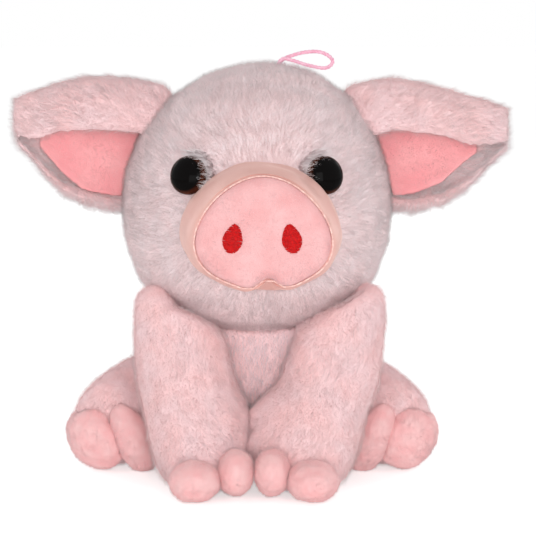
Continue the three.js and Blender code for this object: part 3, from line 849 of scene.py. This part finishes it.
for side, sign in sides.items():
    bpy.ops.object.select_all(action="DESELECT")
    bpy.ops.mesh.primitive_uv_sphere_add(segments=48, ring_count=24, radius=eye_radius)
    button = bpy.context.object
    button.name = f"eye_{side}_button"
    button.scale.z = (eye_dome - eye_rim) / eye_radius
    bpy.ops.object.transform_apply()
    bpy.ops.object.mode_set(mode="EDIT")
    bpy.ops.mesh.select_all(action="SELECT")
    bpy.ops.mesh.bisect(plane_co=(0, 0, 0), plane_no=(0, 0, 1), clear_inner=True)
    bpy.ops.mesh.extrude_region_move(TRANSFORM_OT_translate={"value": (0, 0, -eye_rim)})
    bpy.ops.mesh.edge_face_add()
    bpy.ops.mesh.inset(thickness=eye_chamfer)
    bpy.ops.mesh.inset(thickness=eye_radius - shank_radius - eye_chamfer)
    bpy.ops.mesh.extrude_region_move(TRANSFORM_OT_translate={"value": (0, 0, -shank_length)})
    bpy.ops.object.mode_set(mode="OBJECT")
    distances = np.array([math.hypot(v.co.x, v.co.y) / eye_radius for v in button.data.vertices])
    from_middle = button.data.attributes.new("from_middle", "FLOAT", "POINT")
    from_middle.data.foreach_set("value", distances.astype(np.float32))
    rise = (eye_z - head_middle.z) / (head_size.z / 2)
    aside = sign * eye_apart / 2 / (head_size.x / 2)
    ahead = -math.sqrt(1 - rise * rise - aside * aside)
    spot = head_middle + Vector((aside * head_size.x, ahead * head_size.y, rise * head_size.z)) / 2
    outward = Vector((aside / head_size.x, ahead / head_size.y, rise / head_size.z)).normalized()
    proud = eye_rim + eye_lift
    turn = outward.to_track_quat("Z", "Y").to_matrix().to_4x4()
    button.data.transform(Matrix.Translation(spot + outward * proud) @ turn)
    bpy.ops.object.shade_smooth_by_angle(angle=math.radians(eye_edge_angle))
    button.data.materials.append(eye_plastic)
    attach(button, "head")
    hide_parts(f"eye_{side}")
    brow_middle = spot + Vector((-sign * 2 * brow_rise, 0, brow_rise))
    inward = (brow_middle - spot).normalized()

    def beside_eye(middles, ways, spot=spot, inward=inward):
        gone = middles - np.array(spot)
        far = np.linalg.norm(gone, axis=1)
        faces_in = gone @ np.array(inward) > brow_facing_share * far
        return (far > brow_near) & (far < brow_far) & faces_in

    lay_pile(
        f"brow_{side}_pile",
        head_cloth,
        riding("head"),
        brow_middle,
        length=brow_length,
        width=brow_width,
        per_m2=brow_per_m2,
        lean=brow_lean,
        gather=brow_gather,
        where=beside_eye,
        seed=50 + sign,
        material=white_pile,
    )

# Ears: two layers of cloth turned and folded forward over the top edge, plush behind and a
# deeper pink lining in front. Their roots are sewn to the head.
lining_patch, lining_relief = 14 * mm, 0.12 * mm
ear_lining_minky = cloth_material(
    "ear_lining_minky",
    paint(250, 164, 168),
    paint(253, 178, 180),
    lining_patch,
    minky_weave,
    lining_relief,
)
ear_lining_nap = pile_material(
    "ear_lining_nap", paint(248, 150, 155), paint(253, 176, 178), paint(252, 186, 188), 0.4, 0.6
)
hinge_lean = math.radians(21)
hinge_x, hinge_y, hinge_z = 60 * mm, 12 * mm, 155 * mm
bend_inside, bend_outside = 6 * mm, 12 * mm
ear_root_reach, ear_root_depth = 16 * mm, 1.5 * mm
ear_detail, ear_rounding, ear_swell = 1.3 * mm, 10, -0.6 * mm
lining_detail, lining_rounding = 0.8 * mm, 6
ear_comb_x, ear_comb_y, ear_comb_z = 30 * mm, 12 * mm, 150 * mm
lining_nap_lean, lining_nap_curl = 60, 0.7
rim_top, rim_front, rim_length, rim_per_m2, rim_lean = 163 * mm, 3.5 * mm, 6.5 * mm, 4e6, 66
rim_comb_x, rim_comb_y, rim_comb_z = 80 * mm, 6 * mm, 152 * mm
rim_facing_share = 0.2


def on_lower_rim(middles, ways):
    in_place = (middles[:, 2] < rim_top) & (middles[:, 1] > rim_front)
    return in_place & (ways[:, 1] < rim_facing_share)


for side, sign in sides.items():
    hinge = Vector((head_middle.x + sign * hinge_x, hinge_y, hinge_z))
    outward = Vector((sign * math.cos(hinge_lean), 0, math.sin(hinge_lean)))
    start, end = hinge - outward * bend_inside, hinge + outward * bend_outside

    def sewn(piece, side=side, start=start, end=end, slot="plush_fur"):
        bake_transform(piece)

    root = drawn_to(head_surface, reach=ear_root_reach, depth=ear_root_depth)
    ear_cut = ear_detail, ear_rounding, ear_swell
    ear = stuffed_piece(f"ear_{side}_cloth", [f"ear_{side}_back"], *ear_cut, root)
    lining_cut = lining_detail, lining_rounding
    lining = stuffed_piece(f"ear_{side}_lining_cloth", [f"ear_{side}_lining"], *lining_cut)
    ear.data.materials.append(body_backing)
    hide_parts(f"ear_{side}_back")
    lining.data.materials.append(ear_lining_minky)
    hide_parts(f"ear_{side}_lining")
    lay_pile(
        f"ear_{side}_pile",
        ear,
        sewn,
        (sign * ear_comb_x, ear_comb_y, ear_comb_z),
        neighbours=[head_cloth, lining],
        seed=80 + sign,
        material=limb_pile,
    )
    lay_pile(
        f"ear_{side}_rim",
        ear,
        sewn,
        (sign * rim_comb_x, rim_comb_y, rim_comb_z),
        neighbours=[head_cloth, lining],
        length=rim_length,
        per_m2=rim_per_m2,
        lean=rim_lean,
        where=on_lower_rim,
        seed=85 + sign,
        material=white_pile,
    )
    lay_pile(
        f"ear_{side}_nap",
        lining,
        lambda piece, sewn=sewn: sewn(piece, slot="ear_lining"),
        (sign * ear_comb_x, ear_comb_y, ear_comb_z),
        neighbours=[head_cloth],
        length=nap_length,
        width=nap_width,
        per_m2=nap_per_m2,
        lean=lining_nap_lean,
        curl=lining_nap_curl,
        seed=90 + sign,
        material=ear_lining_nap,
    )
    sewn(ear)
    sewn(lining, slot="ear_lining")

# Lock washers: plain white plastic discs, pressed on the eyes' shanks inside the head. They keep
# the eyes from being pulled out, and their CAD solids stay as they are.
washer_grain = 2 * mm
washer_plastic, washer_shader = new_material("washer_plastic", 0.5)
washer_patches = speckle(washer_plastic, washer_grain, 0.3, 0.7)
washer_tone = mixed(washer_plastic, washer_patches, paint(226, 224, 218), paint(238, 236, 232))
washer_plastic.node_tree.links.new(washer_tone, washer_shader.inputs["Base Color"])
for side in sides:
    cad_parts[f"eye_washer_{side}"].material_slots[0].material = washer_plastic

# Hang loop: a thin cord of three twisted plies, both ends sewn into the seam on top of the
# head. It stands up and leans over to the side.
cord_diameter = 2 * mm
ply_radius, ply_pitch, ply_sides, ply_step = 0.56 * mm, 5.5 * mm, 8, 0.6 * mm
route_steps = 24
cord_patch, cord_grain, cord_relief = 2.5 * mm, 0.4 * mm, 0.1 * mm
loop_route = np.array([
    (7.5, 8.5, 192),
    (11.2, 8.5, 198.6),
    (17.2, 8.8, 201.4),
    (23.2, 9, 202.8),
    (29.2, 8.8, 203),
    (33.7, 8, 201.4),
    (36.2, 6.5, 198.6),
    (34.6, 5, 196),
    (31, 4.3, 195.2),
    (23.2, 4, 196.8),
    (16, 4, 199),
    (11, 4, 199.2),
    (7.5, 4, 192),
]) * mm


def smooth_line(route, step):
    """Points at even steps along the smooth curve through a route."""
    ends = np.vstack([2 * route[0] - route[1], route, 2 * route[-1] - route[-2]])
    points = []
    for a, b, c, d in zip(ends, ends[1:], ends[2:], ends[3:]):
        for t in np.linspace(0, 1, route_steps, endpoint=False):
            points.append(
                0.5 * (2 * b + (c - a) * t + (2 * a - 5 * b + 4 * c - d) * t**2
                       + (3 * b - a - 3 * c + d) * t**3)
            )
    points = np.array([*points, route[-1]])
    along = np.concatenate([[0], np.cumsum(np.linalg.norm(np.diff(points, axis=0), axis=1))])
    stops = np.linspace(0, along[-1], round(along[-1] / step) + 1)
    return np.stack([np.interp(stops, along, points[:, axis]) for axis in range(3)], 1), along[-1]


cord_line, cord_length = smooth_line(loop_route, ply_step)
tangents = unit(np.gradient(cord_line, axis=0))
sideways = unit(np.cross(tangents, (0, 1, 0)))
for i in range(1, len(sideways)):
    carried = sideways[i - 1] - tangents[i] * (sideways[i - 1] @ tangents[i])
    sideways[i] = carried / np.linalg.norm(carried)
upward = np.cross(tangents, sideways)
cord_points, cord_faces = [], []
for ply in range(3):
    first = len(cord_points)
    for i, spot in enumerate(cord_line):
        turn = 2 * math.pi * (i * ply_step / ply_pitch + ply / 3)
        reach = cord_diameter / 2 - ply_radius
        middle = spot + reach * (math.cos(turn) * sideways[i] + math.sin(turn) * upward[i])
        for corner in range(ply_sides):
            angle = 2 * math.pi * corner / ply_sides
            spoke = math.cos(angle) * sideways[i] + math.sin(angle) * upward[i]
            cord_points.append(middle + spoke * ply_radius)
    for i in range(len(cord_line) - 1):
        for corner in range(ply_sides):
            low, nearby = first + i * ply_sides, (corner + 1) % ply_sides
            cord_faces.append(
                (low + corner, low + nearby, low + ply_sides + nearby, low + ply_sides + corner)
            )
    cord_faces.append([first + corner for corner in reversed(range(ply_sides))])
    cord_faces.append([len(cord_points) - ply_sides + corner for corner in range(ply_sides)])
cord_mesh = bpy.data.meshes.new("loop_cord")
cord_mesh.from_pydata([tuple(point) for point in cord_points], [], cord_faces)
cord_mesh.shade_smooth()
loop_cord = bpy.data.objects.new("loop_cord", cord_mesh)
bpy.context.collection.objects.link(loop_cord)
cord_braid = cloth_material(
    "cord_braid",
    paint(244, 176, 200),
    paint(250, 200, 218),
    cord_patch,
    cord_grain,
    cord_relief,
    roughness=0.6,
)
cord_mesh.materials.append(cord_braid)
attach(loop_cord, "head")
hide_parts("hang_loop")

# Tail: a thin plush tube, lightly stuffed, that makes one curl. It is sewn on low at the back,
# and its pile is shorter than the body's.
tail_detail, tail_rounding, tail_swell = 0.9 * mm, 6, -0.7 * mm
tail_pile_length, tail_pile_width, tail_per_m2 = 3 * mm, 0.35 * mm, 3e6
tail_root_x, tail_root_y, tail_root_z = 0.8 * mm, 60 * mm, 42 * mm
tail_cloth = stuffed_piece("tail_cloth", ["tail"], tail_detail, tail_rounding, tail_swell)
tail_cloth.data.materials.append(body_backing)
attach(tail_cloth, "tail")
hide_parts("tail")
lay_pile(
    "tail_pile",
    tail_cloth,
    riding("tail"),
    (tail_root_x, tail_root_y, tail_root_z),
    neighbours=[body_cloth],
    length=tail_pile_length,
    width=tail_pile_width,
    per_m2=tail_per_m2,
    seed=99,
    material=limb_pile,
)

# Floor and backdrop: pale paper that the camera sees as near white, lit by a photographer's soft
# boxes, with the camera low in front.
floor_size = 30
floor_tone, floor_glow, floor_seen = 0.86, 0.15, 0.5
sky_light, sky_seen = 0.56, 1
bpy.ops.mesh.primitive_plane_add(size=floor_size)
floor = bpy.context.object
floor.name = "floor"
floor_paper, floor_shader = new_material("floor_paper", 1)
floor_shader.inputs["Base Color"].default_value = (floor_tone, floor_tone, floor_tone, 1)
floor_shader.inputs["Emission Color"].default_value = (1, 1, 1, 1)
light_path = floor_paper.node_tree.nodes.new("ShaderNodeLightPath")
seen = floor_paper.node_tree.nodes.new("ShaderNodeMapRange")
seen.inputs["To Min"].default_value = floor_glow
seen.inputs["To Max"].default_value = floor_seen
floor_paper.node_tree.links.new(light_path.outputs["Is Camera Ray"], seen.inputs["Value"])
floor_paper.node_tree.links.new(seen.outputs["Result"], floor_shader.inputs["Emission Strength"])
floor.data.materials.append(floor_paper)
floor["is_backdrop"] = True

world = bpy.context.scene.world or bpy.data.worlds.new("studio")
bpy.context.scene.world = world
world.use_nodes = True
tree = world.node_tree
background = tree.nodes["Background"]
background.inputs["Color"].default_value = (1, 1, 1, 1)
world_path = tree.nodes.new("ShaderNodeLightPath")
looked_at = world_path.outputs["Is Camera Ray"]
for ray in ("Is Glossy Ray", "Is Transmission Ray"):
    both = tree.nodes.new("ShaderNodeMath")
    both.operation = "MAXIMUM"
    tree.links.new(looked_at, both.inputs[0])
    tree.links.new(world_path.outputs[ray], both.inputs[1])
    looked_at = both.outputs[0]
strength = tree.nodes.new("ShaderNodeMapRange")
strength.inputs["To Min"].default_value = sky_light
strength.inputs["To Max"].default_value = sky_seen
tree.links.new(looked_at, strength.inputs["Value"])
tree.links.new(strength.outputs["Result"], background.inputs["Strength"])

lamp_target = Vector((0, 0, 0.1))
for name, place, power, size in (
    ("key_box", (0.35, -1.3, 0.38), 4, 0.7),
    ("fill_box", (-0.38, -1.25, 0.1), 3.4, 0.8),
    ("flash", (0.01, -1.0, 0.26), 1.6, 0.05),
    ("back_box_left", (-1.1, 1, 0.6), 6, 0.8),
    ("back_box_right", (1.1, 1, 0.6), 6, 0.8),
):
    bpy.ops.object.light_add(type="AREA", location=place)
    lamp = bpy.context.object
    lamp.name = name
    lamp.data.energy = power
    lamp.data.size = size
    aim = lamp_target - Vector(place)
    lamp.rotation_euler = aim.to_track_quat("-Z", "Y").to_euler()

camera_place, camera_dip, camera_turn = (0.0006, -0.8922, 0.2177), 7.66, -0.26
film_width, lens_length, nearest_seen = 36, 123.2, 0.05
camera_data = bpy.data.cameras.new("camera")
camera_data.sensor_width = film_width
camera_data.lens = lens_length
camera_data.clip_start = nearest_seen
camera = bpy.data.objects.new("camera", camera_data)
bpy.context.collection.objects.link(camera)
camera.location = camera_place
camera.rotation_euler = (math.radians(90 - camera_dip), 0, math.radians(camera_turn))
bpy.context.scene.camera = camera
bpy.context.scene.view_settings.view_transform = "Standard"

low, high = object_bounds()
